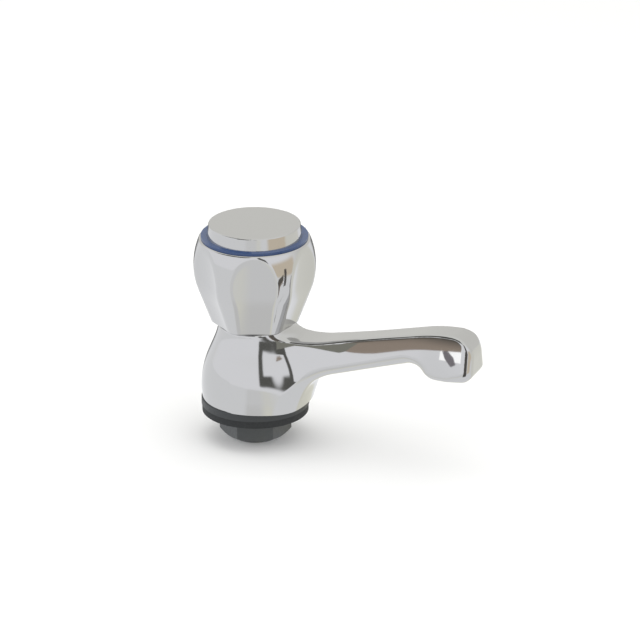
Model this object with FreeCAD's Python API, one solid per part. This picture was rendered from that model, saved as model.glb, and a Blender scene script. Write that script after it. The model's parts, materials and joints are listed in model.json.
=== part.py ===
"""Basin pillar tap with one knob, a short spout and a screw-down valve.

Millimetres, +Z up. The origin is on the knob's axis where the gasket meets the basin,
and +X runs along the spout. The valve is modelled closed.
"""
import FreeCAD
import Part
import math
import os

Vector = FreeCAD.Vector

# Fits between pieces
thread_clearance = 0.05      # radial, between screwed cylinders
running_clearance = 0.05     # radial, between turning or sliding cylinders
seat_clearance = 0.1         # radial, where one piece only locates another
rest_gap = 0.3               # left between faces that pass without touching

# Fixing under the tap
gasket_thickness = 3.2
gasket_radius = 23.3
gasket_recess_depth = 0.8
gasket_recess_margin = 1.6
flange_thickness = 3.2
flange_radius = 23.6
flange_edge_round = 0.5
flange_rim_height = 4.0
flange_rim_wall = 1.6
tail_radius = 10.4775        # G1/2, 20.955 over the thread
tail_bore_radius = 6.5
tail_below_nut = 2.2
tail_chamfer = 0.6
tail_socket_depth = 10.6
tail_seal_thickness = 1.5
nut_height = 11.2
nut_across_flats = 27.2
nut_chamfer = 0.8
nut_turn = -68.0             # degrees, one flat looks this way

# Body casting
body_base_radius = 22.5
body_belly_radius = 22.9
body_belly_rise = 6.0        # from the base edge to the widest place
body_flank_places = [(0.25, 12.2), (0.56, 18.2)]   # share of the narrowing, height above the belly
body_foot_lean = 0.14        # outwards for each mm up, at the base edge
body_top_lean = -0.12        # inwards under the knob
body_waist_radius = 15.9
body_height = 34.0           # from the base edge to the shoulder under the knob
body_skirt = 8.0             # runs on below the base edge while the spout is blended, then cut
base_pocket_depth = 8.5
base_pocket_wall = 3.2
inlet_boss_wall = 3.4
web_thickness = 2.0
web_bore_radius = 6.0
seat_pocket_radius = 8.0
seat_pocket_depth = 3.4
chamber_radius = 12.6
chamber_height = 11.0
neck_spigot_radius = 14.4
neck_spigot_height = 3.2

# Spout
outlet_reach = 91.0          # knob axis to outlet centre
outlet_height = 30.0         # above the basin
nozzle_height = 20.0         # outlet to the top of the spout
nose_ahead = 12.5            # tip of the spout beyond the outlet's centre
nozzle_behind = 8.2          # back of the nozzle behind the outlet's centre
spout_inner_reach = 6.0      # where the spout starts inside the body
spout_inner_depth = 26.4     # the side outline runs this far below the base edge
valley_ahead = 1.1           # dip in the top, beyond the body's widest place
valley_drop = 4.158          # below the shoulder
valley_rise = 3.8
valley_round = 56.0
crown_setback = 5.8
crown_round = 60.0
nose_round = 10.0            # from the top down into the tip
nose_corner_round = 5.0      # upright corners of the tip
nose_foot_round = 2.5        # edge around the outlet's face
throat_run = 6.0             # the underside turns down this far behind the nozzle's back
throat_rise = 5.45           # above the outlet
throat_round = 3.0
arm_root_sink = 4.9          # the underside sweeps down this far inside the belly
arm_root_rise = 12.0         # above the base edge
root_round = 30.0
spout_low_round = 5.0
spout_blend_radius = 2.0
spout_station_rise = 29.6    # the half widths below hold this far above the base edge
root_stations = [(6, 11.0, 0.20), (16, 9.4, 0.20), (27, 7.9, 0.22), (40, 7.3, 0.28)]
nozzle_stations = [(-33.0, 7.6, 0.28), (-15.0, 8.5, 0.22), (1.0, 9.4, 0.21), (21.0, 9.9, 0.21)]
spout_plan_margin = 1.0      # the plan outline runs this far above the spout
spout_block_half = 50.0      # the side outline's block, wider than any spout
outlet_bore_radius = 6.6
outlet_bore_depth = 8.0
outlet_mouth_radius = 6.9    # wider below the flow straightener
duct_radius = 3.9
duct_start = 10.0            # from the knob's axis, inside the chamber
duct_step = 0.7              # duct above the chamber's floor
duct_bend_setover = 2.8      # duct's bend beyond the throat
duct_floor_wall = 2.4

# Flow straightener
straightener_recess = 3.0
straightener_length = 5.0
straightener_wall = 0.9
straightener_webs = 6
straightener_web = 0.8

# Valve
lead = 2.0                   # lift for one turn of the knob
turns_open = 2.5
seat_bore_radius = 5.5
seat_lip_height = 1.4
seat_lip_width = 1.0
valve_washer_radius = 8.2
valve_washer_thickness = 3.0
carrier_plate_thickness = 1.4
carrier_floor = 0.8
carrier_flats = 12.9
stud_radius = 2.0
washer_nut_flats = 7.0
washer_nut_height = 2.4
stud_end = 0.8               # stud below its nut
screw_radius = 4.0           # lead screw of the spindle
screw_engagement = 5.9

# Headwork
bonnet_thread_radius = 10.4
bonnet_washer_thickness = 1.2
bonnet_washer_setback = 0.8  # from the edge of the body's neck
bonnet_hex_flats = 24.0
bonnet_hex_height = 6.0
bonnet_wall_above_guide = 9.5
gland_radius = 7.6
journal_radius = 4.0
collar_radius = 6.1
collar_height = 2.0
thrust_washer_thickness = 0.8
ring_section_radius = 0.5
ring_seal_gap = 0.02
ring_groove_width = 1.4
ring_spacing = 3.0
ring_count = 2
circlip_thickness = 0.8
circlip_radius = 5.8
circlip_groove_depth = 0.6
circlip_mouth = 3.6
spline_teeth = 20
spline_depth = 0.45
spline_clearance = 0.04

# Knob
knob_gap = 0.6               # between the body's shoulder and the knob
knob_height = 39.2
knob_mouth_radius = 18.6
knob_belly_radius = 26.5
knob_belly_rise = 27.0
knob_barrel_radius = 31.7
knob_flutes = 6
knob_flute_turn = -68.0      # degrees, one flute looks this way
flute_axis_distance = 70.0
flute_foot_radius = 16.5     # knob radius in the middle of a flute, at the mouth
flute_bend_radius = 22.7
flute_bend_rise = 17.6
flute_bend_round = 35.0
flute_top_radius = 24.7
flute_top_rise = 38.0
knob_wall = 2.0
knob_bore_radius = 15.0
knob_roof = 3.0
knob_hub_radius = 9.5
cap_recess_depth = 6.4
cap_recess_radius = 19.0
bush_radius = 6.6
bush_flat_depth = 1.0
screw_shank_radius = 2.0
screw_head_radius = 3.8
screw_head_height = 2.6
screw_depth = 8.0
screw_washer_radius = 5.0
screw_washer_thickness = 0.8
driver_slot_width = 1.0
driver_slot_depth = 1.2
driver_slot_radius = 2.3     # the slots reach this far from the screw's axis

# Index ring and cap
ring_thickness = 1.1
ring_radius = 23.3
cap_height = 5.3
cap_foot_radius = 20.7
cap_top_radius = 19.9
cap_edge_round = 0.5
cap_wall = 1.5
cap_plug_depth = 4.6
cap_plug_wall = 1.4

# Heights worked out from the sizes above
flange_foot = gasket_thickness
body_foot = flange_foot + flange_thickness
tail_top = body_foot + tail_socket_depth - tail_seal_thickness
socket_roof = body_foot + tail_socket_depth
nut_top = gasket_recess_depth
nut_foot = nut_top - nut_height
tail_foot = nut_foot - tail_below_nut
seat_foot = socket_roof + web_thickness
chamber_foot = seat_foot + seat_pocket_depth
seat_top = chamber_foot + seat_lip_height
shoulder = body_foot + body_height
skirt_foot = body_foot - body_skirt
neck_top = shoulder + neck_spigot_height
chamber_top = chamber_foot + chamber_height
lift = lead * turns_open
washer_top = seat_top + valve_washer_thickness
plate_top = washer_top + carrier_plate_thickness
bonnet_foot = plate_top + lift + rest_gap
carrier_bore_foot = plate_top + carrier_floor
screw_foot = carrier_bore_foot + lift + rest_gap
carrier_top = screw_foot + screw_engagement
collar_foot = carrier_top + lift + rest_gap
collar_top = collar_foot + collar_height
guide_roof = collar_top + thrust_washer_thickness
bonnet_hex_foot = neck_top + bonnet_washer_thickness
bonnet_hex_top = bonnet_hex_foot + bonnet_hex_height
gland_top = guide_roof + bonnet_wall_above_guide
circlip_foot = gland_top + rest_gap
circlip_top = circlip_foot + circlip_thickness
spline_foot = circlip_top + rest_gap
ring_outer_radius = journal_radius + running_clearance - ring_seal_gap
knob_foot = shoulder + knob_gap
knob_top = knob_foot + knob_height
recess_floor = knob_top - cap_recess_depth
roof_foot = recess_floor - knob_roof
spindle_top = roof_foot - rest_gap
screw_hole_foot = spindle_top - screw_depth
ring_top = knob_top + ring_thickness
cap_top = ring_top + cap_height

# Places along the spout worked out from the sizes above
spout_tip_reach = outlet_reach + nose_ahead
spout_top_height = outlet_height + nozzle_height
nozzle_back_reach = outlet_reach - nozzle_behind
arm_throat_reach = nozzle_back_reach - throat_run
arm_throat_height = outlet_height + throat_rise
arm_root_reach = body_belly_radius - arm_root_sink
arm_root_height = body_foot + arm_root_rise
crown_reach = outlet_reach - crown_setback
valley_reach = body_belly_radius + valley_ahead
valley_height = shoulder - valley_drop
spout_inner_foot = body_foot - spout_inner_depth
spout_station_height = body_foot + spout_station_rise
spout_stations = root_stations + [(outlet_reach + ahead, half, flare)
                                  for ahead, half, flare in nozzle_stations]


def cylinder(radius, foot, top):
    return Part.makeCylinder(radius, top - foot, Vector(0, 0, foot))


def tube(outer, inner, foot, top):
    return cylinder(outer, foot, top).cut(cylinder(inner, foot, top))


def hexagon(across_flats, foot, top, turn=0.0):
    """Hexagonal bar with one flat looking along the angle turn."""
    corner = across_flats / math.sqrt(3)
    angles = [math.radians(turn + 30 + 60 * i) for i in range(7)]
    points = [Vector(corner * math.cos(a), corner * math.sin(a), foot) for a in angles]
    return Part.Face(Part.makePolygon(points)).extrude(Vector(0, 0, top - foot))


def star(outer, depth, teeth, foot, top):
    """Splined bar: pointed teeth between two radii."""
    points = []
    for i in range(2 * teeth + 1):
        radius = outer - depth * (i % 2)
        angle = math.pi * i / teeth
        points.append(Vector(radius * math.cos(angle), radius * math.sin(angle), foot))
    return Part.Face(Part.makePolygon(points)).extrude(Vector(0, 0, top - foot))


def turned(points):
    """Solid of revolution about Z from points (radius, height)."""
    path = [Vector(r, 0, z) for r, z in points]
    face = Part.Face(Part.makePolygon(path + path[:1]))
    return face.revolve(Vector(0, 0, 0), Vector(0, 0, 1), 360)


def turned_wire(edges):
    face = Part.Face(Part.Wire(edges))
    return face.revolve(Vector(0, 0, 0), Vector(0, 0, 1), 360)


def rounded(corners, place):
    """Closed outline through corners (u, v, radius); place turns (u, v) into a point."""
    starts, arcs, ends = [], [], []
    count = len(corners)
    for i in range(count):
        u, v, radius = corners[i]
        here = Vector(u, v, 0)
        before = Vector(*corners[i - 1][:2], 0) - here
        after = Vector(*corners[(i + 1) % count][:2], 0) - here
        before.normalize()
        after.normalize()
        if radius == 0:
            starts.append(here)
            arcs.append(None)
            ends.append(here)
            continue
        half = before.getAngle(after) / 2
        reach = radius / math.tan(half)
        middle = before + after
        middle.normalize()
        bulge = radius / math.sin(half) - radius
        starts.append(here + before * reach)
        arcs.append(here + middle * bulge)
        ends.append(here + after * reach)
    edges = []
    for i in range(count):
        first = place(starts[i].x, starts[i].y)
        last = place(ends[i].x, ends[i].y)
        following = starts[(i + 1) % count]
        if arcs[i]:
            edges.append(Part.Arc(first, place(arcs[i].x, arcs[i].y), last).toShape())
        edges.append(Part.makeLine(last, place(following.x, following.y)))
    return Part.Wire(edges)


def edges_near(shape, curve, tolerance=0.01):
    """Edges of the shape whose middle lies on the curve."""
    found = []
    for edge in shape.Edges:
        middle = edge.valueAt((edge.FirstParameter + edge.LastParameter) / 2)
        if curve.distToShape(Part.Vertex(middle))[0] < tolerance:
            found.append(edge)
    return found


def round_edges_at(shape, height, radius, least_length=0.0):
    """Round the level edges at one height that are at least so long."""
    edges = []
    for edge in shape.Edges:
        box = edge.BoundBox
        level = abs(box.ZMin - height) < 0.01 and abs(box.ZMax - height) < 0.01
        if level and edge.Length > least_length:
            edges.append(edge)
    return shape.makeFillet(radius, edges)


def bell():
    """Outside of the body: skirt, belly, waist and the spigot that the knob covers."""
    belly = body_foot + body_belly_rise
    flank = body_belly_radius - body_waist_radius
    foot = Vector(body_base_radius, 0, body_foot)
    skirt = Vector(body_base_radius - body_foot_lean * body_skirt, 0, skirt_foot)
    side = [foot, Vector(body_belly_radius, 0, belly)]
    for share, rise in body_flank_places:
        side.append(Vector(body_belly_radius - share * flank, 0, belly + rise))
    side.append(Vector(body_waist_radius, 0, shoulder))
    curve = Part.BSplineCurve()
    curve.interpolate(Points=side, InitialTangent=Vector(body_foot_lean, 0, 1),
                      FinalTangent=Vector(body_top_lean, 0, 1))
    spigot_low = Vector(neck_spigot_radius, 0, shoulder)
    spigot_high = Vector(neck_spigot_radius, 0, neck_top)
    edges = [curve.toShape(), Part.makeLine(side[-1], spigot_low),
             Part.makeLine(spigot_low, spigot_high),
             Part.makeLine(spigot_high, Vector(0, 0, neck_top)),
             Part.makeLine(Vector(0, 0, neck_top), Vector(0, 0, skirt_foot)),
             Part.makeLine(Vector(0, 0, skirt_foot), skirt),
             Part.makeLine(skirt, foot)]
    shape = turned_wire(edges)
    shape.rotate(Vector(0, 0, 0), Vector(0, 0, 1), 180)
    return shape


def spout_side():
    """Side outline of the spout as a block across its full width."""
    corners = [(spout_inner_reach, valley_height + valley_rise, 0),
               (valley_reach, valley_height, valley_round),
               (crown_reach, spout_top_height, crown_round),
               (spout_tip_reach, spout_top_height, nose_round),
               (spout_tip_reach, outlet_height, 0),
               (nozzle_back_reach, outlet_height, 0),
               (arm_throat_reach, arm_throat_height, throat_round),
               (arm_root_reach, arm_root_height, root_round),
               (arm_root_reach, spout_inner_foot, 0),
               (spout_inner_reach, spout_inner_foot, 0)]
    wire = rounded(corners, lambda u, v: Vector(u, -spout_block_half, v))
    return Part.Face(wire).extrude(Vector(0, 2 * spout_block_half, 0))


def spout_plan():
    """Plan outline of the spout, wider towards its foot near the body, with a rounded tip."""
    outlines = []
    for height in (spout_inner_foot, spout_top_height + spout_plan_margin):
        halves = []
        for sign in (-1, 1):
            points = []
            for reach, half, flare in spout_stations:
                wide = half + flare * (spout_station_height - height)
                points.append(Vector(reach, sign * wide, height))
            if sign > 0:
                points.reverse()
            curve = Part.BSplineCurve()
            curve.interpolate(Points=points)
            halves.append(curve.toShape())
        near, far = halves
        end = Part.makeLine(near.Vertexes[-1].Point, far.Vertexes[0].Point)
        root = Part.makeLine(far.Vertexes[-1].Point, near.Vertexes[0].Point)
        outlines.append(Part.Wire([near, end, far, root]))
    beyond = Part.makeBox(spout_tip_reach, 2 * spout_block_half, 2 * spout_tip_reach,
                          Vector(spout_tip_reach, -spout_block_half, spout_inner_foot))
    plan = Part.makeLoft(outlines, True, True).cut(beyond)
    corners = [edge for edge in plan.Edges if edge.BoundBox.ZLength > spout_block_half
               and abs(edge.BoundBox.XMin - spout_tip_reach) < 0.01]
    return plan.makeFillet(nose_corner_round, corners)


def starts_at_nozzle_back(edge):
    """True for an edge that leaves the lower back corner of the nozzle."""
    corners = [v for v in edge.Vertexes if abs(v.X - nozzle_back_reach) < 0.01]
    return any(abs(v.Z - outlet_height) < 0.01 for v in corners)


def spout_shape():
    """Outside of the spout, rounded fully below and lightly around the outlet's face."""
    block = spout_side().common(spout_plan())
    back = [edge for edge in block.Edges if edge.BoundBox.ZLength > 1 and starts_at_nozzle_back(edge)]
    shape = block.makeFillet(spout_low_round, back)
    return round_edges_at(shape, outlet_height, nose_foot_round)


def base_pocket():
    """Hollow ring under the body between its wall and the inlet boss."""
    outer = body_base_radius - base_pocket_wall
    inner = tail_radius + inlet_boss_wall
    return tube(outer, inner, body_foot, body_foot + base_pocket_depth)


def waterway():
    """Way through the casting: socket, seat pocket, chamber, neck, duct and nozzle."""
    ways = [cylinder(tail_radius + thread_clearance, body_foot, socket_roof),
            cylinder(web_bore_radius, socket_roof, seat_foot),
            cylinder(seat_pocket_radius, seat_foot, chamber_foot),
            cylinder(chamber_radius, chamber_foot, chamber_top),
            cylinder(bonnet_thread_radius + thread_clearance, chamber_top, neck_top)]
    nozzle = Vector(outlet_reach, 0, outlet_height)
    dome = nozzle + Vector(0, 0, outlet_bore_depth)
    start = Vector(duct_start, 0, chamber_foot + duct_step + duct_radius)
    bend = Vector(arm_throat_reach + duct_bend_setover, 0,
                  arm_throat_height + duct_floor_wall + duct_radius)
    for a, b in ((start, bend), (bend, dome)):
        ways.append(Part.makeCylinder(duct_radius, (b - a).Length, a, b - a))
    ways.append(Part.makeSphere(duct_radius, bend))
    ways.append(Part.makeCylinder(outlet_bore_radius, outlet_bore_depth, nozzle))
    ways.append(Part.makeCylinder(outlet_mouth_radius, straightener_recess, nozzle))
    ways.append(Part.makeSphere(outlet_bore_radius, dome))
    return ways[0].multiFuse(ways[1:])


def tap_body():
    """Chrome casting with its spout."""
    outside = bell()
    wide = 2 * spout_tip_reach
    room = Part.makeBox(2 * wide, 2 * wide, wide, Vector(-wide, -wide, body_foot))
    spout = spout_shape()
    joint = outside.section(spout)
    shape = outside.fuse(spout)
    above_skirt = skirt_foot + rest_gap
    blend = [edge for edge in edges_near(shape, joint) if edge.BoundBox.ZMax > above_skirt]
    shape = shape.makeFillet(spout_blend_radius, blend).common(room)
    return shape.cut(waterway()).cut(base_pocket())


def inlet_tail():
    """Threaded tube screwed into the body; the supply pipe joins its lower end."""
    foot = tail_foot
    top = tail_top
    edge = tail_chamfer
    return turned([(tail_bore_radius, foot), (tail_radius - edge, foot), (tail_radius, foot + edge),
                   (tail_radius, top - edge), (tail_radius - edge, top), (tail_bore_radius, top)])


def tail_seal():
    """Rubber ring between the tail and the web, clear of the water's way."""
    return tube(tail_radius - seat_clearance, tail_bore_radius + rest_gap, tail_top, socket_roof)


def base_gasket():
    """Rubber seal under the flange, hollow in the middle so that the nut can be run up."""
    ring = tube(gasket_radius, tail_radius + seat_clearance, 0, gasket_thickness)
    recess = nut_across_flats / math.sqrt(3) + gasket_recess_margin
    return ring.cut(cylinder(recess, 0, gasket_recess_depth))


def base_flange():
    """Plastic ring under the body; its rim locates in the body's pocket."""
    ring = tube(flange_radius, tail_radius + seat_clearance, flange_foot, body_foot)
    ring = round_edges_at(ring, body_foot, flange_edge_round, 2 * math.pi * tail_radius + 1)
    rim_outer = body_base_radius - base_pocket_wall - seat_clearance
    rim = tube(rim_outer, rim_outer - flange_rim_wall, body_foot, body_foot + flange_rim_height)
    return ring.fuse(rim).removeSplitter()


def backnut():
    """Plastic nut that draws the tap down on the basin."""
    nut = hexagon(nut_across_flats, nut_foot, nut_top, nut_turn)
    corner = nut_across_flats / math.sqrt(3)
    face = nut_across_flats / 2
    drop = nut_chamfer / 2
    cone = turned([(0, nut_foot), (face - nut_chamfer / 2, nut_foot),
                   (corner, nut_foot + nut_chamfer + drop), (corner, nut_top), (0, nut_top)])
    return nut.common(cone).cut(cylinder(tail_radius + thread_clearance, nut_foot, nut_top))


def seat_ring():
    """Ring screwed into the web; the valve washer closes on its raised lip."""
    ring = tube(seat_pocket_radius - thread_clearance, seat_bore_radius, seat_foot, chamber_foot)
    lip = tube(seat_bore_radius + seat_lip_width, seat_bore_radius, chamber_foot, seat_top)
    return ring.fuse(lip).removeSplitter()


def bonnet():
    """Brass headwork body: thread, hexagon and gland, with the carrier's guide inside."""
    shape = cylinder(bonnet_thread_radius, bonnet_foot, bonnet_hex_foot)
    shape = shape.fuse(hexagon(bonnet_hex_flats, bonnet_hex_foot, bonnet_hex_top))
    shape = shape.fuse(cylinder(gland_radius, bonnet_hex_top, gland_top))
    guide = hexagon(carrier_flats + 2 * running_clearance, bonnet_foot, guide_roof)
    gland = cylinder(journal_radius + running_clearance, guide_roof, gland_top)
    return shape.cut(guide).cut(gland).removeSplitter()


def bonnet_washer():
    inner = bonnet_thread_radius + seat_clearance
    outer = neck_spigot_radius - bonnet_washer_setback
    return tube(outer, inner, neck_top, bonnet_hex_foot)


def thrust_washer():
    """Plastic ring between the spindle's collar and the roof of the guide."""
    return tube(collar_radius, journal_radius + running_clearance, collar_top, guide_roof)


def ring_heights():
    """Middles of the grooves for the spindle's seal rings."""
    first = guide_roof + ring_spacing
    return [first + ring_spacing * i for i in range(ring_count)]


def spindle():
    """Turned by the knob: lead screw, collar, sealed journal and splined end."""
    root = journal_radius - circlip_groove_depth
    ring_floor = ring_outer_radius - 2 * ring_section_radius - ring_seal_gap
    shape = cylinder(screw_radius, screw_foot, collar_foot)
    shape = shape.fuse(cylinder(collar_radius, collar_foot, collar_top))
    shape = shape.fuse(cylinder(journal_radius, collar_top, spline_foot))
    shape = shape.fuse(star(journal_radius, spline_depth, spline_teeth, spline_foot, spindle_top))
    grooves = [tube(collar_radius, root, circlip_foot, circlip_top)]
    for middle in ring_heights():
        low = middle - ring_groove_width / 2
        grooves.append(tube(collar_radius, ring_floor, low, low + ring_groove_width))
    hole = screw_shank_radius + thread_clearance
    grooves.append(cylinder(hole, screw_hole_foot, spindle_top))
    return shape.cut(grooves[0].multiFuse(grooves[1:])).removeSplitter()


def spindle_rings():
    """Rubber rings that seal the spindle in the gland."""
    middle_radius = ring_outer_radius - ring_section_radius
    rings = []
    for middle in ring_heights():
        rings.append(Part.makeTorus(middle_radius, ring_section_radius, Vector(0, 0, middle)))
    return Part.makeCompound(rings)


def spindle_circlip():
    """Open ring in the spindle's groove, above the gland."""
    inner = journal_radius - circlip_groove_depth
    ring = tube(circlip_radius, inner, circlip_foot, circlip_top)
    mouth = Part.makeBox(circlip_radius, circlip_mouth, circlip_thickness,
                         Vector(0, -circlip_mouth / 2, circlip_foot))
    return ring.cut(mouth)


def valve_carrier():
    """Hexagonal nut on the lead screw that carries the valve washer up and down."""
    shape = hexagon(carrier_flats, plate_top, carrier_top)
    shape = shape.fuse(cylinder(valve_washer_radius, washer_top, plate_top))
    stud_foot = seat_top - washer_nut_height - stud_end
    shape = shape.fuse(cylinder(stud_radius, stud_foot, washer_top))
    bore = cylinder(screw_radius + thread_clearance, carrier_bore_foot, carrier_top)
    return shape.cut(bore).removeSplitter()


def valve_washer():
    inner = stud_radius + seat_clearance
    return tube(valve_washer_radius - seat_clearance, inner, seat_top, washer_top)


def washer_nut():
    nut = hexagon(washer_nut_flats, seat_top - washer_nut_height, seat_top)
    bore = cylinder(stud_radius + thread_clearance, seat_top - washer_nut_height, seat_top)
    return nut.cut(bore)


def knob_barrel():
    """Turned outside of the knob: a straight taper that meets a barrel-shaped arc."""
    belly = Vector(knob_belly_radius - knob_barrel_radius, 0, knob_foot + knob_belly_rise)
    mouth = Vector(knob_mouth_radius, 0, knob_foot)
    to_mouth = mouth - belly
    down = math.atan2(to_mouth.z, to_mouth.x)
    lean = math.acos(knob_barrel_radius / to_mouth.Length)
    top_sine = (knob_height - knob_belly_rise) / knob_barrel_radius
    angles = [down + lean, (down + lean) / 2, 0.0, math.asin(top_sine)]
    places = [belly + Vector(math.cos(a), 0, math.sin(a)) * knob_barrel_radius for a in angles]
    axis_foot = Vector(0, 0, knob_foot)
    axis_top = Vector(0, 0, knob_top)
    edges = [Part.makeLine(mouth, places[0]),
             Part.Arc(places[0], places[1], places[2]).toShape(),
             Part.Arc(places[2], middle_of(belly, places[2], places[3]), places[3]).toShape(),
             Part.makeLine(places[3], axis_top), Part.makeLine(axis_top, axis_foot),
             Part.makeLine(axis_foot, mouth)]
    return turned_wire(edges)


def middle_of(centre, a, b):
    """Point half way along the arc from a to b."""
    half = (a - centre) + (b - centre)
    return centre + half.normalize() * (a - centre).Length


def knob_flute():
    """Cutter for one shallow flute: a turned bar whose waist follows the flute."""
    slope = (flute_bend_radius - flute_foot_radius) / flute_bend_rise
    high_slope = (flute_top_radius - flute_bend_radius) / (flute_top_rise - flute_bend_rise)
    below = 5.0
    above = knob_height - flute_top_rise + 5.0
    far = flute_axis_distance
    corners = [(0, -below, 0),
               (far - flute_foot_radius + slope * below, -below, 0),
               (far - flute_bend_radius, flute_bend_rise, flute_bend_round),
               (far - flute_top_radius - high_slope * above, flute_top_rise + above, 0),
               (0, flute_top_rise + above, 0)]
    wire = rounded(corners, lambda u, v: Vector(far - u, 0, knob_foot + v))
    face = Part.Face(wire)
    cutter = face.revolve(Vector(far, 0, 0), Vector(0, 0, 1), 360)
    cutter.rotate(Vector(0, 0, 0), Vector(0, 0, 1), knob_flute_turn)
    return cutter


def turned_copies(shape, count):
    copies = []
    for i in range(count):
        copy = shape.copy()
        copy.rotate(Vector(0, 0, 0), Vector(0, 0, 1), 360.0 * i / count)
        copies.append(copy)
    return copies


def bush_blank(radius, foot, top):
    """Round bar with two flats, so that the bush can't turn in the knob."""
    across = 2 * (radius - bush_flat_depth)
    flats = Part.makeBox(2 * radius, across, top - foot, Vector(-radius, -across / 2, foot))
    return cylinder(radius, foot, top).common(flats)


def knob():
    """Chrome shell with a hub inside and a recess for the cap."""
    shape = knob_barrel().cut(turned_copies(knob_flute(), knob_flutes))
    wide = flute_bend_radius - knob_wall
    inside = turned([(0, knob_foot), (knob_bore_radius, knob_foot),
                     (wide, knob_foot + flute_bend_rise), (wide, roof_foot), (0, roof_foot)])
    shape = shape.cut(inside)
    shape = shape.cut(cylinder(cap_recess_radius, recess_floor, knob_top))
    shape = shape.fuse(cylinder(knob_hub_radius, spline_foot, roof_foot))
    shape = shape.cut(bush_blank(bush_radius + seat_clearance, spline_foot, roof_foot))
    return shape.cut(cylinder(screw_shank_radius + seat_clearance, roof_foot, recess_floor))


def knob_bush():
    """Plastic insert in the hub, splined to fit the spindle."""
    bore = star(journal_radius + spline_clearance, spline_depth, spline_teeth,
                spline_foot, roof_foot)
    return bush_blank(bush_radius, spline_foot, roof_foot).cut(bore)


def knob_screw():
    """Screw down through the knob's roof into the spindle."""
    head_foot = recess_floor + screw_washer_thickness
    head_top = head_foot + screw_head_height
    foot = screw_hole_foot + rest_gap
    shape = cylinder(screw_head_radius, head_foot, head_top)
    shape = round_edges_at(shape, head_top, screw_head_height / 3)
    shape = shape.fuse(cylinder(screw_shank_radius, foot, head_foot))
    slots = []
    for turn in (0, 90):
        slot = Part.makeBox(2 * screw_head_radius, driver_slot_width, driver_slot_depth,
                            Vector(-screw_head_radius, -driver_slot_width / 2,
                                   head_top - driver_slot_depth))
        slot = slot.common(cylinder(driver_slot_radius, head_foot, head_top))
        slot.rotate(Vector(0, 0, 0), Vector(0, 0, 1), turn)
        slots.append(slot)
    return shape.cut(slots).removeSplitter()


def screw_washer():
    return tube(screw_washer_radius, screw_shank_radius + seat_clearance,
                recess_floor, recess_floor + screw_washer_thickness)


def index_ring():
    """Blue ring for cold, held between the knob and the cap."""
    return tube(ring_radius, cap_recess_radius, knob_top, ring_top)


def cap():
    """Chrome cap with a plug that presses into the knob's recess."""
    plug = cap_recess_radius - seat_clearance
    shape = turned([(0, ring_top), (cap_foot_radius, ring_top),
                    (cap_top_radius, cap_top), (0, cap_top)])
    shape = round_edges_at(shape, cap_top, cap_edge_round)
    shape = shape.fuse(cylinder(plug, ring_top - cap_plug_depth, ring_top))
    hollow = cylinder(plug - cap_plug_wall, ring_top - cap_plug_depth, cap_top - cap_wall)
    return shape.cut(hollow).removeSplitter()


def nozzle_star():
    """Plastic star in the nozzle that straightens the stream."""
    foot = outlet_height + straightener_recess
    top = foot + straightener_length
    outer = outlet_bore_radius - running_clearance
    ring = tube(outer, outer - straightener_wall, foot, top)
    web = Part.makeBox(outer - straightener_wall / 2, straightener_web, straightener_length,
                       Vector(0, -straightener_web / 2, foot))
    shape = ring.multiFuse(turned_copies(web, straightener_webs)).removeSplitter()
    shape.translate(Vector(outlet_reach, 0, 0))
    return shape


PIECES = (tap_body, inlet_tail, tail_seal, base_flange, base_gasket, backnut, seat_ring,
          bonnet, bonnet_washer, thrust_washer, nozzle_star, spindle, spindle_rings,
          spindle_circlip, valve_carrier, valve_washer, washer_nut, knob, knob_bush,
          knob_screw, screw_washer, index_ring, cap)


def main():
    os.makedirs("parts", exist_ok=True)
    for piece in PIECES:
        shape = piece()
        shape.exportStep("parts/" + piece.__name__ + ".step")
        print(piece.__name__, shape.isValid(), len(shape.Solids), round(shape.Volume, 1))


main()
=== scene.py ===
"""Looks of the basin pillar tap: casting, knob, materials, stage, lights and camera."""
import json
import math

import bmesh
import bpy
import numpy as np
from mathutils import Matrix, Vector


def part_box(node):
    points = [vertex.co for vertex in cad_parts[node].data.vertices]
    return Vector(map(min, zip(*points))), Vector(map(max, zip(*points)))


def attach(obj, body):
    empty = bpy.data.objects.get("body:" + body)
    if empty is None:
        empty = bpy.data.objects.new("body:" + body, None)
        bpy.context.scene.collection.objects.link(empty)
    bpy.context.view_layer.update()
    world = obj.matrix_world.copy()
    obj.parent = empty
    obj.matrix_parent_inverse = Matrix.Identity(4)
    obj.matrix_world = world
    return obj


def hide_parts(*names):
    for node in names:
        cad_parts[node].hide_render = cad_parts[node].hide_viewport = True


MM = 0.001

# Casting, in millimetres: x runs along the spout, z up from the basin.
BODY_FOOT = 6.4
BODY_RUN_ON = 2
SHOULDER = 40.4
SHOULDER_SOFTNESS = 0.8
BELL_HEIGHTS = [BODY_FOOT, BODY_FOOT + 6, BODY_FOOT + 18.2, BODY_FOOT + 24.2, SHOULDER]
BELL_RADII = [23.1, 23.5, 21.4, 18.98, 15.9]
BELL_END_SLOPES = (0.14, -0.12)
NECK_TOP = 43.6
NECK_RADIUS = 14.4
NECK_SUNK = 3
OUTLET_REACH = 91.0
OUTLET_HEIGHT = 30.0
MOUTH_RADIUS = 6.9
MOUTH_DEPTH = 3.0
MOUTH_SOFTNESS = 0.9
OUTLET_BORE, OUTLET_DEPTH = 6.6, 12.0
# Round hollows on the axis: radius, bottom, top.
HOLLOWS = [(10.53, 0.0, 17.0), (6.0, 16.0, 20.0), (8.0, 19.0, 23.0), (12.6, 22.4, 33.4),
           (10.45, 33.0, 50.0)]
# Ring-shaped hollow in the foot.
POCKET_MIDDLE, POCKET_HALF, POCKET_TOP = 17.0, 2.3, 10.9
SPOUT_BACK = 6.0
TIP_REACH = 103.5
# Corners of the spout's top: x, z, radius of the arc there.
TOP_LINE = [(6, 40.04, 0), (24, 36.24, 56), (85.2, 50.0, 60), (112, 50.0, 0)]
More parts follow.
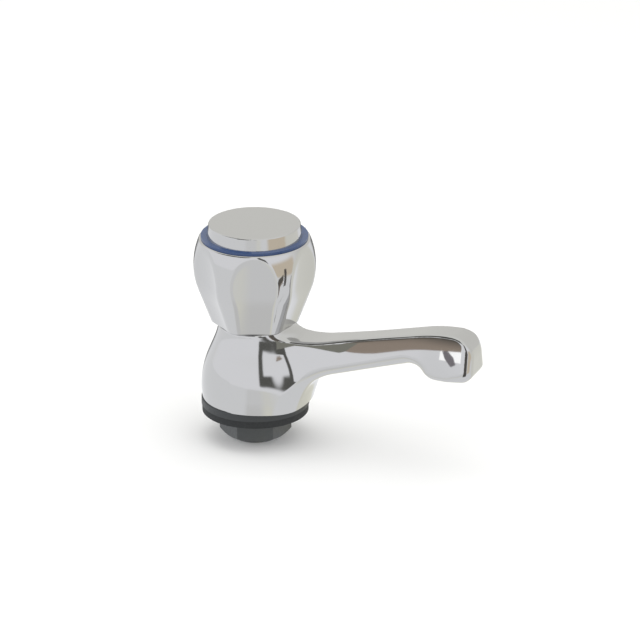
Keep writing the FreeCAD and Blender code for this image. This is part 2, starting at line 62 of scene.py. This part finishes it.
# Turns heights over the sloping top into about distances from it.
TOP_LEAN = 0.98
# The arm's underside runs from throat to root, then round an arc: its radius and middle.
THROAT_X, THROAT_Z = 76.8, 35.45
THROAT_ROUND = 3.0
ROOT_X, ROOT_Z = 18.0, 18.4
SWEEP = 30.0
SWEEP_X, SWEEP_Z = 48.0, -4.14
NOZZLE_BACK = 82.8
# Half width of the spout at FLARE_HEIGHT, and what it gains for each millimetre below that.
HALF_X = [6, 16, 27, 40, 58, 76, 92, 112]
HALF_WIDE = [11.0, 9.4, 7.9, 7.3, 7.6, 8.5, 9.4, 9.9]
HALF_END_SLOPES = (-0.17, 0.02)
HALF_FLARE = [0.20, 0.20, 0.22, 0.28, 0.28, 0.22, 0.21, 0.21]
FLARE_HEIGHT = 36.0
EDGE_ROUND = 1.2
NOSE_TOP_ROUND = 10.0
NOSE_CORNER_ROUND = 5.0
ARM_LOW_ROUND = 5.0
NOSE_FOOT_ROUND = 2.5
TIP_MORE_ROUND = 3.0
ARM_TO_NOZZLE = (78, 88)
NOZZLE_TO_TIP = (92, 101)
BLEND_HIGH, BLEND_LOW = 7.0, 12.0
BLEND_HEIGHTS = (32, 12)

# Net over the casting's surface.
CELL = 0.45
NET_CORNERS = (-25, -25, 2), (108, 25, 54)
SETTLINGS = 8
SLOPE_STEP = 0.02
LEAST_SLOPE = 0.05

# Knob, in millimetres; a rise is a height above its foot.
KNOB_FOOT = 41.0
KNOB_HEIGHT = 39.2
MOUTH_EDGE = 18.6
BELLY_RADIUS = 26.5
BELLY_RISE = 27.0
BARREL = 31.7
FLUTES = 6
FLUTE_TURN = -68.0
FLUTE_AXIS = 70.0
FLUTE_LINE = [(0.0, 16.5), (17.6, 22.7), (38.0, 24.7)]
FLUTE_SOFTNESS = 5.0
AVERAGED_PLACES, LEAST_WEIGHT = 9, 0.02
RIDGE_SOFTNESS = 0.9
LIP_WIDTH = 2.4
LIP_ROUND, LIP_START = 0.6, 0.1
WALL_FOOT, WALL_HEAD = 0.8, 0.7
SKIRT_INSIDE, SKIRT_DEPTH = 15.0, 6.0
TOP_INSIDE, TOP_DEPTH = 19.0, 6.0
AROUND = 720
FLAT_RINGS, LIP_RINGS, WALL_RINGS = 4, 6, 190

# Materials by slot: name, colour, metallic, least and most roughness, scale of the noise,
# strength and depth of the bump.
FINISHES = {
    "chrome": ("chrome_plate", (0.55, 0.55, 0.55), 1.0, 0.05, 0.08, 60, 0.02, 0.00002),
    "black_plastic": ("black_plastic", (0.030, 0.033, 0.035), 0.0, 0.38, 0.55, 900, 0.15, 0.00004),
    "nut_plastic": ("nut_plastic", (0.055, 0.060, 0.061), 0.0, 0.42, 0.60, 900, 0.15, 0.00004),
    "black_rubber": ("black_rubber", (0.018, 0.020, 0.021), 0.0, 0.65, 0.85, 1200, 0.25, 0.00005),
    "steel": ("steel", (0.56, 0.56, 0.56), 1.0, 0.25, 0.38, 700, 0.1, 0.00003),
    "brass": ("brass", (0.72, 0.52, 0.24), 1.0, 0.20, 0.34, 500, 0.1, 0.00003),
    "fibre": ("red_fibre", (0.40, 0.10, 0.08), 0.0, 0.6, 0.8, 900, 0.3, 0.00005),
    "white_plastic": ("white_plastic", (0.78, 0.78, 0.75), 0.0, 0.35, 0.5, 600, 0.08, 0.00003),
    "blue_plastic": ("blue_plastic", (0.028, 0.062, 0.165), 0.0, 0.18, 0.28, 300, 0.04, 0.00002),
}
NOISE_DETAIL = 4.0
NOISE_LOW, NOISE_HIGH = 0.3, 0.7

# Stage. Bearings run from -Y towards +X, and heights from the horizon, both in degrees.
FLOOR_SIZE = 6.0
FLOOR_MATT, FLOOR_LIFT = (0.75, 0.75, 0.75), 0.12
FLOOR_GLOW = (0.99, 1.0, 1.02)
# Dark flag on the floor behind the tap, which widens away from it; distances in metres.
FLAG_GLOW = (0.14, 0.14, 0.14)
FLAG_AHEAD, FLAG_ASIDE = (-0.375, 0.927), (0.927, 0.375)
FLAG_SLANT, FLAG_START = (0.35, 0.75), (0.05, 0.12)
NEAR_ZERO = 0.001
# Wedges of the floor: lowest and highest bearing, strength near and far, distances in metres
# between which it changes, colour.
FLOOR_WEDGES = [(2, 36, 1.0, 0.5, 0.05, 0.12, (0.84, 0.84, 0.835)),
                (27, 37, 1.0, 0.5, 0.05, 0.12, (1.02, 1.014, 0.90)),
                (54, 102, 0.0, 1.0, 0.30, 0.50, (0.83, 0.73, 0.59)),
                (100, 150, 1.0, 0.7, 0.05, 0.12, (0.91, 0.90, 0.80))]
WEDGE_SOFTNESS = 5
SKY_LOW = (1.08, 1.085, 1.12)
SKY_HIGH = (0.97, 0.97, 0.94)
SKY_BACK = (0.856, 0.85, 0.815)
SKY_HEIGHTS, BACK_DEPTHS, BACK_HEIGHTS = (15, 55), (-0.1, 0.6), (28, 50)
# Patches of the sky: lowest and highest bearing, lowest and highest height, softness, colour.
SKY_PATCHES = [(27, 42, 4, 15, 1.5, (0.14, 0.14, 0.13)), (26, 33, 4, 34, 1.5, (0.14, 0.14, 0.13)),
               (54, 102, -30, 9, 4, (0.83, 0.73, 0.59)), (-75, 14, 32, 68, 3, (0.10, 0.10, 0.09))]
# Cards: name, corners in millimetres, colour; the first changes to a second colour upwards.
CARDS = [
    ("brown_card", [(33, -32, 40), (47, -32, 40.5), (90, -32, 44.5), (90, -32, 60), (33, -32, 60)],
     (0.43, 0.355, 0.295), (0.15, 0.137, 0.12), (44, 50)),
    ("green_card", [(20, -18, 36), (38.5, -18, 36.9), (41, -18, 38), (46, -18, 43), (20, -18, 41)],
     (0.30, 0.30, 0.26)),
    ("white_card", [(78, -32, 39.5), (91, -32, 39.5), (91, -32, 44.4), (78, -32, 43.4)],
     (1.7, 1.7, 1.7)),
    ("spot_card", [(79, -31.9, 43.4), (82, -31.9, 43.8), (85.4, -31.9, 41.5), (87.1, -31.9, 38.5),
                   (84.8, -31.9, 37.2), (81, -31.9, 40.2)], (0.28, 0.26, 0.28)),
    ("edge_card", [(108, -33, 20), (119, -26, 20), (119, -26, 70), (108, -33, 70)],
     (0.125, 0.117, 0.11)),
]
# Lights: name, place and target in metres, side, power.
LIGHTS = [("overhead", (0.1, -0.1, 1.2), (0.03, 0, 0.03), 1.6, 9),
          ("left", (-1.0, -0.6, 0.7), (0.03, 0, 0.04), 0.9, 4)]

# Camera, in degrees, metres, and millimetres for the lens.
AZIMUTH = ELEVATION = 22
TARGET = (0.0262, 0.0106, 0.04145)
DISTANCE = 2.0
SENSOR, LENS = 36, 258.7
NEAREST, FARTHEST = 0.01, 50


def smooth_min(a, b, k):
    """Smaller of two numbers, with the change from one to the other spread over k."""
    h = np.clip(0.5 + 0.5 * (b - a) / k, 0, 1)
    return b * (1 - h) + a * h - k * h * (1 - h)


def smooth_max(a, b, k):
    return -smooth_min(-a, -b, k)


def round_max(a, b, radius):
    """Larger of two distances, with the outer corner between them rounded."""
    corner = np.hypot(np.maximum(a + radius, 0), np.maximum(b + radius, 0))
    return np.minimum(np.maximum(a, b), -radius) + corner


def round_min(a, b, radius):
    return -round_max(-a, -b, radius)


def part_way(value, start, end):
    """0 before start, 1 past end, in proportion between."""
    return np.clip((value - start) / (end - start), 0, 1)


def extended(xs, ys, x):
    """Linear interpolation that runs on along its end slopes."""
    inside = np.interp(x, xs, ys)
    low = ys[0] + (x - xs[0]) * (ys[1] - ys[0]) / (xs[1] - xs[0])
    high = ys[-1] + (x - xs[-1]) * (ys[-1] - ys[-2]) / (xs[-1] - xs[-2])
    return np.where(x < xs[0], low, np.where(x > xs[-1], high, inside))


def smooth_line(places, x, softness):
    """Broken line through places, averaged over softness to both sides."""
    xs = [p[0] for p in places]
    ys = [p[1] for p in places]
    total = np.zeros_like(x, dtype=float)
    steps = np.linspace(-1, 1, AVERAGED_PLACES)
    weights = (1 - steps ** 2) + LEAST_WEIGHT
    for step, weight in zip(steps, weights):
        total += weight * extended(xs, ys, x + step * softness)
    return total / weights.sum()


def arc_line(places, x):
    """Height at x of a broken line of (x, z, radius), with an arc at each inner corner."""
    line = extended([p[0] for p in places], [p[1] for p in places], x)
    for before, (cx, cz, radius), after in zip(places, places[1:], places[2:]):
        back = Vector((before[0] - cx, before[1] - cz)).normalized()
        ahead = Vector((after[0] - cx, after[1] - cz)).normalized()
        half = back.angle(ahead) / 2
        reach = radius / math.tan(half)
        middle = Vector((cx, cz)) + (back + ahead).normalized() * radius / math.sin(half)
        sign = 1 if middle.y < cz else -1
        arc = middle.y + sign * np.sqrt(np.maximum(radius ** 2 - (x - middle.x) ** 2, 0))
        line = np.where((x > cx + back.x * reach) & (x < cx + ahead.x * reach), arc, line)
    return line


def cubic(xs, ys, x, first_slope, last_slope):
    """Smooth curve through points with given end slopes; level beyond its ends."""
    xs = np.array(xs, float)
    ys = np.array(ys, float)
    n = len(xs)
    matrix = np.zeros((n, n))
    right = np.zeros(n)
    matrix[0, 0] = 1
    right[0] = first_slope
    matrix[-1, -1] = 1
    right[-1] = last_slope
    for i in range(1, n - 1):
        before = xs[i] - xs[i - 1]
        after = xs[i + 1] - xs[i]
        matrix[i, i - 1] = 1 / before
        matrix[i, i] = 2 / before + 2 / after
        matrix[i, i + 1] = 1 / after
        right[i] = 3 * ((ys[i] - ys[i - 1]) / before ** 2 + (ys[i + 1] - ys[i]) / after ** 2)
    slopes = np.linalg.solve(matrix, right)
    x = np.clip(x, xs[0], xs[-1])
    i = np.clip(np.searchsorted(xs, x) - 1, 0, n - 2)
    step = xs[i + 1] - xs[i]
    t = (x - xs[i]) / step
    return (ys[i] * (1 + 2 * t) * (1 - t) ** 2 + ys[i + 1] * t ** 2 * (3 - 2 * t)
            + step * slopes[i] * t * (1 - t) ** 2 - step * slopes[i + 1] * t ** 2 * (1 - t))


# The fields below give about the distance from a shape's surface, below zero inside it.

def body_field(x, y, z):
    """Bell of the body, which runs on below its foot."""
    side = np.sqrt(x * x + y * y) - cubic(BELL_HEIGHTS, BELL_RADII, z, *BELL_END_SLOPES)
    side = np.maximum(side, BODY_FOOT - BODY_RUN_ON - z)
    return smooth_max(side, z - SHOULDER, SHOULDER_SOFTNESS)


def arm_under(x, z):
    """Space under the arm: a straight run that sweeps down into the bell."""
    away_x, away_z = x - SWEEP_X, z - SWEEP_Z
    slope = math.atan2(THROAT_Z - ROOT_Z, THROAT_X - ROOT_X)
    along = away_x * math.cos(slope) + away_z * math.sin(slope)
    above = away_z * math.cos(slope) - away_x * math.sin(slope)
    return SWEEP - np.where(along > 0, above, np.hypot(away_x, away_z))


def nozzle_under(x, z):
    """Space under the nozzle's foot and the slope behind it."""
    run, drop = NOZZLE_BACK - THROAT_X, THROAT_Z - OUTLET_HEIGHT
    back = -((x - NOZZLE_BACK) * drop + (z - OUTLET_HEIGHT) * run) / math.hypot(run, drop)
    return round_max(back, OUTLET_HEIGHT - z, NOSE_FOOT_ROUND)


def spout_half(x, z):
    """Half width of the spout, whose sides lean outwards below."""
    half = cubic(HALF_X, HALF_WIDE, x, *HALF_END_SLOPES)
    flare = cubic(HALF_X, HALF_FLARE, x, 0.0, 0.0)
    return half + flare * (FLARE_HEIGHT - z)


def spout_field(x, y, z):
    """Arm and nozzle, with their edges rounded."""
    tip = x - TIP_REACH
    wall = round_max(np.abs(y) - spout_half(x, z), tip, NOSE_CORNER_ROUND)
    top = (z - arc_line(TOP_LINE, x)) * TOP_LEAN
    low = round_min(arm_under(x, z), nozzle_under(x, z), THROAT_ROUND)
    nozzle = part_way(x, *ARM_TO_NOZZLE)
    under = ARM_LOW_ROUND + (NOSE_FOOT_ROUND - ARM_LOW_ROUND) * nozzle * nozzle * (3 - 2 * nozzle)
    under = under + TIP_MORE_ROUND * part_way(x, *NOZZLE_TO_TIP)
    upper = round_max(wall, round_max(top, tip, NOSE_TOP_ROUND), EDGE_ROUND)
    lower = round_max(wall, low, under)
    return np.maximum(np.maximum(upper, lower), SPOUT_BACK - x)


def mouth_field(x, y, z):
    """Mouth of the nozzle."""
    away = np.sqrt((x - OUTLET_REACH) ** 2 + y * y)
    return np.maximum(away - MOUTH_RADIUS, z - OUTLET_HEIGHT - MOUTH_DEPTH)


def inside_field(x, y, z):
    """Hollows that hold the tail, the seat, the headwork and the straightener."""
    away = np.hypot(x, y)
    hollow = np.maximum(np.abs(away - POCKET_MIDDLE) - POCKET_HALF, z - POCKET_TOP)
    for radius, low, high in HOLLOWS:
        hollow = np.minimum(hollow, np.maximum(away - radius, np.maximum(low - z, z - high)))
    away = np.hypot(x - OUTLET_REACH, y)
    bore = np.maximum(away - OUTLET_BORE, z - OUTLET_HEIGHT - OUTLET_DEPTH)
    return np.minimum(hollow, bore)


def casting_field(x, y, z):
    """Body and spout, blended more widely low down, with the neck and without the hollows."""
    width = BLEND_HIGH + (BLEND_LOW - BLEND_HIGH) * part_way(z, *BLEND_HEIGHTS)
    both = smooth_min(body_field(x, y, z), spout_field(x, y, z), width)
    neck = np.maximum(np.sqrt(x * x + y * y) - NECK_RADIUS, z - NECK_TOP)
    both = np.minimum(both, np.maximum(neck, SHOULDER - NECK_SUNK - z))
    both = smooth_max(both, -mouth_field(x, y, z), MOUTH_SOFTNESS)
    return np.maximum(both, -inside_field(x, y, z))


def slope_of(field, points):
    parts = []
    for axis in range(3):
        ahead = points.copy()
        ahead[:, axis] += SLOPE_STEP
        behind = points.copy()
        behind[:, axis] -= SLOPE_STEP
        parts.append((field(*ahead.T) - field(*behind.T)) / (2 * SLOPE_STEP))
    return np.stack(parts, 1)


def onto_surface(field, points, reach):
    """Moves points along the field's slope to where it is zero, by half of reach at most."""
    slope = slope_of(field, points)
    size = np.maximum((slope ** 2).sum(1, keepdims=True), LEAST_SLOPE)
    move = field(*points.T)[:, None] * slope / size
    return points - np.clip(move, -reach / 2, reach / 2)


def surface_net(field, low, high, cell):
    """Quads around the surface where the field is zero, one point for each cell it crosses."""
    axes = [np.arange(a, b + cell, cell) for a, b in zip(low, high)]
    inside = field(*np.meshgrid(*axes, indexing="ij")) < 0
    shape = tuple(n - 1 for n in inside.shape)
    count = np.zeros(shape, int)
    for i in (0, 1):
        for j in (0, 1):
            for k in (0, 1):
                count += inside[i:i + shape[0], j:j + shape[1], k:k + shape[2]]
    active = (count > 0) & (count < 8)
    number = np.full(shape, -1)
    cells = np.argwhere(active)
    number[active] = np.arange(len(cells))
    points = np.array(low) + (cells + 0.5) * cell
    quads = []
    for axis in range(3):
        a = np.moveaxis(inside, axis, 0)
        n = np.moveaxis(number, axis, 0)
        first, second = a[:-1, 1:-1, 1:-1], a[1:, 1:-1, 1:-1]
        for turned, where in ((False, first & ~second), (True, ~first & second)):
            i, j, k = np.nonzero(where)
            corners = [n[i, j, k], n[i, j + 1, k], n[i, j + 1, k + 1], n[i, j, k + 1]]
            if turned != (axis == 1):
                corners.reverse()
            quads.append(np.stack(corners, 1))
    for _ in range(SETTLINGS):
        points = onto_surface(field, points, cell)
    return points, np.concatenate(quads)


def mesh_piece(name, points, faces):
    """Smooth-shaded object from points in millimetres."""
    mesh = bpy.data.meshes.new(name)
    mesh.from_pydata((points * MM).tolist(), [], faces.tolist())
    mesh.update()
    mesh.polygons.foreach_set("use_smooth", [True] * len(mesh.polygons))
    piece = bpy.data.objects.new(name, mesh)
    bpy.context.scene.collection.objects.link(piece)
    return piece


def casting():
    """Body, spout and neck in one mesh, cut flat at the body's foot."""
    piece = mesh_piece("casting", *surface_net(casting_field, *NET_CORNERS, CELL))
    shape = bmesh.new()
    shape.from_mesh(piece.data)
    everything = shape.verts[:] + shape.edges[:] + shape.faces[:]
    cut = bmesh.ops.bisect_plane(shape, geom=everything, plane_co=(0, 0, BODY_FOOT * MM),
                                 plane_no=(0, 0, -1), clear_outer=True)["geom_cut"]
    rims = [item for item in cut if isinstance(item, bmesh.types.BMEdge)]
    bmesh.ops.triangle_fill(shape, edges=rims, use_beauty=True, normal=(0, 0, -1))
    for edge in rims:
        edge.smooth = False
    bmesh.ops.recalc_face_normals(shape, faces=shape.faces[:])
    shape.to_mesh(piece.data)
    shape.free()
    return piece


def barrel_radius(rise):
    """Radius of the knob before its flutes: a straight taper, then an arc."""
    centre = BELLY_RADIUS - BARREL
    to_mouth = (MOUTH_EDGE - centre, -BELLY_RISE)
    length = math.hypot(*to_mouth)
    angle = math.atan2(to_mouth[1], to_mouth[0]) + math.acos(BARREL / length)
    touch_rise = BELLY_RISE + BARREL * math.sin(angle)
    touch = centre + BARREL * math.cos(angle)
    taper = MOUTH_EDGE + (touch - MOUTH_EDGE) * rise / touch_rise
    arc = centre + np.sqrt(np.maximum(BARREL ** 2 - (rise - BELLY_RISE) ** 2, 0))
    return np.where(rise < touch_rise, taper, arc)


def knob_radius(angle, rise):
    """Radius of the knob with its flutes, which are hollowed by round bars around it."""
    pitch = 2 * math.pi / FLUTES
    off = (angle - math.radians(FLUTE_TURN) + pitch / 2) % pitch - pitch / 2
    bar = FLUTE_AXIS - smooth_line(FLUTE_LINE, rise, FLUTE_SOFTNESS)
    across = np.maximum(bar ** 2 - (FLUTE_AXIS * np.sin(off)) ** 2, 0)
    flute = FLUTE_AXIS * np.cos(off) - np.sqrt(across)
    return smooth_min(barrel_radius(rise), flute, RIDGE_SOFTNESS)


def knob_rings():
    """Rings of the knob from inside its mouth to inside its top: fixed radius, rise, inset."""
    rings = []
    for share in np.linspace(1, 0, FLAT_RINGS):
        rings.append((SKIRT_INSIDE, SKIRT_DEPTH * share, None))
    for share in np.linspace(0, 1, FLAT_RINGS):
        rings.append((None, 0.0, -LIP_WIDTH + (LIP_WIDTH - LIP_ROUND) * share))
    turns = np.linspace(LIP_START, 1, LIP_RINGS) * math.pi / 2
    for turn in turns:
        rings.append((None, LIP_ROUND * (1 - math.cos(turn)), -LIP_ROUND * (1 - math.sin(turn))))
    for rise in np.linspace(WALL_FOOT, KNOB_HEIGHT - WALL_HEAD, WALL_RINGS):
        rings.append((None, rise, 0.0))
    for turn in turns:
        rings.append((None, KNOB_HEIGHT - LIP_ROUND * (1 - math.sin(turn)),
                      -LIP_ROUND * (1 - math.cos(turn))))
    rings.append((TOP_INSIDE, KNOB_HEIGHT, None))
    rings.append((TOP_INSIDE, KNOB_HEIGHT - TOP_DEPTH, None))
    return rings


def knob_shell():
    """Fluted outside, rolled lips at its mouth and top, and the inside of the skirt."""
    angles = np.linspace(0, 2 * math.pi, AROUND, endpoint=False)
    points = []
    for fixed, rise, inset in knob_rings():
        if fixed is None:
            radius = knob_radius(angles, np.full(AROUND, rise)) + inset
        else:
            radius = np.full(AROUND, fixed)
        points.append(np.stack([radius * np.cos(angles), radius * np.sin(angles),
                                np.full(AROUND, KNOB_FOOT + rise)], 1))
    faces = []
    here = np.arange(AROUND)
    following = (here + 1) % AROUND
    for i in range(len(points) - 1):
        a, b = i * AROUND, (i + 1) * AROUND
        faces.append(np.stack([a + here, a + following, b + following, b + here], 1))
    return mesh_piece("knob_shell", np.concatenate(points), np.concatenate(faces))


def grained(name, colour, metallic, rough_low, rough_high, scale, bump_strength, bump_depth):
    """Material whose roughness and fine bump follow one noise."""
    material = bpy.data.materials.new(name)
    material.use_nodes = True
    tree = material.node_tree
    shader = tree.nodes["Principled BSDF"]
    shader.inputs["Base Color"].default_value = (*colour, 1)
    shader.inputs["Metallic"].default_value = metallic
    shader.inputs["Roughness"].default_value = rough_low
    place = tree.nodes.new("ShaderNodeTexCoord")
    noise = tree.nodes.new("ShaderNodeTexNoise")
    noise.inputs["Scale"].default_value = scale
    noise.inputs["Detail"].default_value = NOISE_DETAIL
    tree.links.new(place.outputs["Object"], noise.inputs["Vector"])
    rough = tree.nodes.new("ShaderNodeMapRange")
    rough.inputs["From Min"].default_value = NOISE_LOW
    rough.inputs["From Max"].default_value = NOISE_HIGH
    rough.inputs["To Min"].default_value = rough_low
    rough.inputs["To Max"].default_value = rough_high
    tree.links.new(noise.outputs["Fac"], rough.inputs["Value"])
    tree.links.new(rough.outputs["Result"], shader.inputs["Roughness"])
    bump = tree.nodes.new("ShaderNodeBump")
    bump.inputs["Strength"].default_value = bump_strength
    bump.inputs["Distance"].default_value = bump_depth
    tree.links.new(noise.outputs["Fac"], bump.inputs["Height"])
    tree.links.new(bump.outputs["Normal"], shader.inputs["Normal"])
    return material


def coordinates(tree, kind):
    """Coordinates of a kind, whole and as x, y and z."""
    place = tree.nodes.new("ShaderNodeTexCoord").outputs[kind]
    parts = tree.nodes.new("ShaderNodeSeparateXYZ")
    tree.links.new(place, parts.inputs[0])
    return place, *parts.outputs


def maths(tree, operation, *values):
    node = tree.nodes.new("ShaderNodeMath")
    node.operation = operation
    for i, value in enumerate(values):
        if isinstance(value, (int, float)):
            node.inputs[i].default_value = value
        else:
            tree.links.new(value, node.inputs[i])
    return node.outputs[0]


def ramp(tree, value, low, high):
    """0 below low, 1 above high, smooth between."""
    node = tree.nodes.new("ShaderNodeMapRange")
    node.interpolation_type = "SMOOTHSTEP"
    node.inputs["From Min"].default_value = low
    node.inputs["From Max"].default_value = high
    tree.links.new(value, node.inputs["Value"])
    return node.outputs["Result"]


def ramp_down(tree, value, low, high):
    return maths(tree, "SUBTRACT", 1.0, ramp(tree, value, low, high))


def between(tree, value, low, high, soft):
    """1 from low to high, 0 outside them, smooth over soft to both sides of each."""
    up = ramp(tree, value, low - soft, low + soft)
    return maths(tree, "MULTIPLY", up, ramp_down(tree, value, high - soft, high + soft))


def tint(tree, under, share, colour):
    """Lays a colour over another as far as share says."""
    node = tree.nodes.new("ShaderNodeMix")
    node.data_type = "RGBA"
    below, above, result = node.inputs[6], node.inputs[7], node.outputs[2]
    above.default_value = (*colour, 1)
    tree.links.new(share, node.inputs["Factor"])
    if isinstance(under, tuple):
        below.default_value = (*under, 1)
    else:
        tree.links.new(under, below)
    return result


def degrees(tree, angle):
    return maths(tree, "MULTIPLY", angle, 180 / math.pi)


def bearing_of(tree, x, y):
    return degrees(tree, maths(tree, "ARCTAN2", x, maths(tree, "MULTIPLY", y, -1.0)))


def along(tree, x, y, direction):
    """How far a place lies along a direction."""
    return maths(tree, "ADD", maths(tree, "MULTIPLY", x, direction[0]),
                 maths(tree, "MULTIPLY", y, direction[1]))


def show_camera(tree, seen, reflected, surface):
    """Shows the camera one shader, and all other rays another."""
    path = tree.nodes.new("ShaderNodeLightPath")
    mix = tree.nodes.new("ShaderNodeMixShader")
    tree.links.new(path.outputs["Is Camera Ray"], mix.inputs["Fac"])
    tree.links.new(reflected.outputs[0], mix.inputs[1])
    tree.links.new(seen.outputs[0], mix.inputs[2])
    tree.links.new(mix.outputs[0], surface)


def glowing_sheet(name, corners, colour):
    """Flat piece with corners in metres and a plain glow, and what is needed to change it."""
    mesh = bpy.data.meshes.new(name)
    mesh.from_pydata(corners, [], [tuple(range(len(corners)))])
    sheet = bpy.data.objects.new(name, mesh)
    bpy.context.scene.collection.objects.link(sheet)
    material = bpy.data.materials.new(name)
    material.use_nodes = True
    mesh.materials.append(material)
    tree = material.node_tree
    tree.nodes.clear()
    surface = tree.nodes.new("ShaderNodeOutputMaterial").inputs["Surface"]
    glow = tree.nodes.new("ShaderNodeEmission")
    glow.inputs["Color"].default_value = (*colour, 1)
    tree.links.new(glow.outputs[0], surface)
    return sheet, tree, glow, surface


def add_floor():
    """The camera sees a white matt floor with the tap's shadow, reflections see a pattern."""
    size, z = FLOOR_SIZE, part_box("inlet_tail")[0].z
    corners = [(-size, -size, z), (size, -size, z), (size, size, z), (-size, size, z)]
    floor, tree, glow, surface = glowing_sheet("floor", corners, FLOOR_GLOW)
    matt = tree.nodes.new("ShaderNodeBsdfDiffuse")
    matt.inputs["Color"].default_value = (*FLOOR_MATT, 1)
    lift = tree.nodes.new("ShaderNodeEmission")
    lift.inputs["Strength"].default_value = FLOOR_LIFT
    lifted = tree.nodes.new("ShaderNodeAddShader")
    tree.links.new(matt.outputs[0], lifted.inputs[0])
    tree.links.new(lift.outputs[0], lifted.inputs[1])
    show_camera(tree, lifted, glow, surface)

    place, x, y, _ = coordinates(tree, "Object")
    ahead = along(tree, x, y, FLAG_AHEAD)
    aside = maths(tree, "ABSOLUTE", along(tree, x, y, FLAG_ASIDE))
    slant = maths(tree, "DIVIDE", aside, maths(tree, "MAXIMUM", ahead, NEAR_ZERO))
    flag = maths(tree, "MULTIPLY", ramp_down(tree, slant, *FLAG_SLANT),
                 ramp(tree, ahead, *FLAG_START))
    colour = tint(tree, FLOOR_GLOW, flag, FLAG_GLOW)
    bearing = bearing_of(tree, x, y)
    away = tree.nodes.new("ShaderNodeVectorMath")
    away.operation = "LENGTH"
    tree.links.new(place, away.inputs[0])
    for low, high, near, far, start, end, shade in FLOOR_WEDGES:
        gain = maths(tree, "MULTIPLY", far - near, ramp(tree, away.outputs["Value"], start, end))
        share = maths(tree, "MULTIPLY", between(tree, bearing, low, high, WEDGE_SOFTNESS),
                      maths(tree, "ADD", near, gain))
        colour = tint(tree, colour, share, shade)
    tree.links.new(colour, glow.inputs["Color"])


def add_card(name, corners, colour, top_colour=None, change=None):
    """Card that only reflections see; its colour can change between two heights."""
    corners = [tuple(c * MM for c in corner) for corner in corners]
    card, tree, glow, _ = glowing_sheet(name, corners, colour)
    if top_colour:
        z = coordinates(tree, "Object")[3]
        share = ramp(tree, z, change[0] * MM, change[1] * MM)
        tree.links.new(tint(tree, colour, share, top_colour), glow.inputs["Color"])
    card.visible_camera = False
    card.visible_diffuse = False
    card.visible_shadow = False


def add_light(name, place, target, side, power):
    """Square lamp that reflections don't see."""
    data = bpy.data.lights.new(name, "AREA")
    data.shape = "SQUARE"
    data.size = side
    data.energy = power
    light = bpy.data.objects.new(name, data)
    light.location = place
    light.rotation_mode = "QUATERNION"
    light.rotation_quaternion = (Vector(target) - Vector(place)).to_track_quat("-Z", "Y")
    light.visible_glossy = False
    bpy.context.scene.collection.objects.link(light)


def add_surroundings():
    """Pale surroundings with a few darker places, by direction alone; the camera sees white."""
    world = bpy.data.worlds.new("studio")
    bpy.context.scene.world = world
    world.use_nodes = True
    tree = world.node_tree
    _, x, y, z = coordinates(tree, "Generated")
    bearing = bearing_of(tree, x, y)
    height = degrees(tree, maths(tree, "ARCSINE", z))
    colour = tint(tree, SKY_LOW, ramp(tree, height, *SKY_HEIGHTS), SKY_HIGH)
    behind = maths(tree, "MULTIPLY", ramp(tree, y, *BACK_DEPTHS),
                   ramp_down(tree, height, *BACK_HEIGHTS))
    colour = tint(tree, colour, behind, SKY_BACK)
    for az_low, az_high, el_low, el_high, soft, shade in SKY_PATCHES:
        share = maths(tree, "MULTIPLY", between(tree, bearing, az_low, az_high, soft),
                      between(tree, height, el_low, el_high, soft))
        colour = tint(tree, colour, share, shade)
    patterned = tree.nodes["Background"]
    tree.links.new(colour, patterned.inputs["Color"])
    patterned.inputs["Strength"].default_value = 1.0
    plain = tree.nodes.new("ShaderNodeBackground")
    plain.inputs["Color"].default_value = (1, 1, 1, 1)
    show_camera(tree, plain, patterned, tree.nodes["World Output"].inputs["Surface"])


def add_camera():
    azimuth, elevation = math.radians(AZIMUTH), math.radians(ELEVATION)
    back = Vector((math.sin(azimuth) * math.cos(elevation),
                   -math.cos(azimuth) * math.cos(elevation), math.sin(elevation)))
    lens = bpy.data.cameras.new("camera")
    lens.sensor_width = SENSOR
    lens.lens = LENS
    lens.clip_start = NEAREST
    lens.clip_end = FARTHEST
    camera = bpy.data.objects.new("camera", lens)
    camera.location = Vector(TARGET) + back * DISTANCE
    camera.rotation_mode = "QUATERNION"
    camera.rotation_quaternion = (-back).to_track_quat("-Z", "Y")
    bpy.context.scene.collection.objects.link(camera)
    bpy.context.scene.camera = camera


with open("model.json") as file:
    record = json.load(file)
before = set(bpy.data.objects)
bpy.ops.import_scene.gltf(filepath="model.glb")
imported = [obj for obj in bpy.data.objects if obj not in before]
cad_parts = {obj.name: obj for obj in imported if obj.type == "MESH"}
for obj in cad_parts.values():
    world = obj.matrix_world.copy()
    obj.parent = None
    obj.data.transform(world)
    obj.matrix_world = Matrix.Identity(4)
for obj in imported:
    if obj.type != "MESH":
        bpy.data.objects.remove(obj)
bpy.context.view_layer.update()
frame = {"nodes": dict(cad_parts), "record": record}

finishes = {slot: grained(*finish) for slot, finish in FINISHES.items()}
finishes["knob_chrome"] = finishes["chrome"]
for part in frame["record"]["subparts"]:
    slots = frame["nodes"][part["node"]].data.materials
    slots.clear()
    slots.append(finishes[part["material_slot"]])

cast = casting()
cast.data.materials.append(finishes["chrome"])
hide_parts("tap_body")
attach(cast, "tap")

shell = knob_shell()
shell.data.materials.append(finishes["knob_chrome"])
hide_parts("knob")
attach(shell, "handle")

add_floor()
for card in CARDS:
    add_card(*card)
for light in LIGHTS:
    add_light(*light)
add_surroundings()
add_camera()
bpy.context.scene.view_settings.view_transform = "Standard"
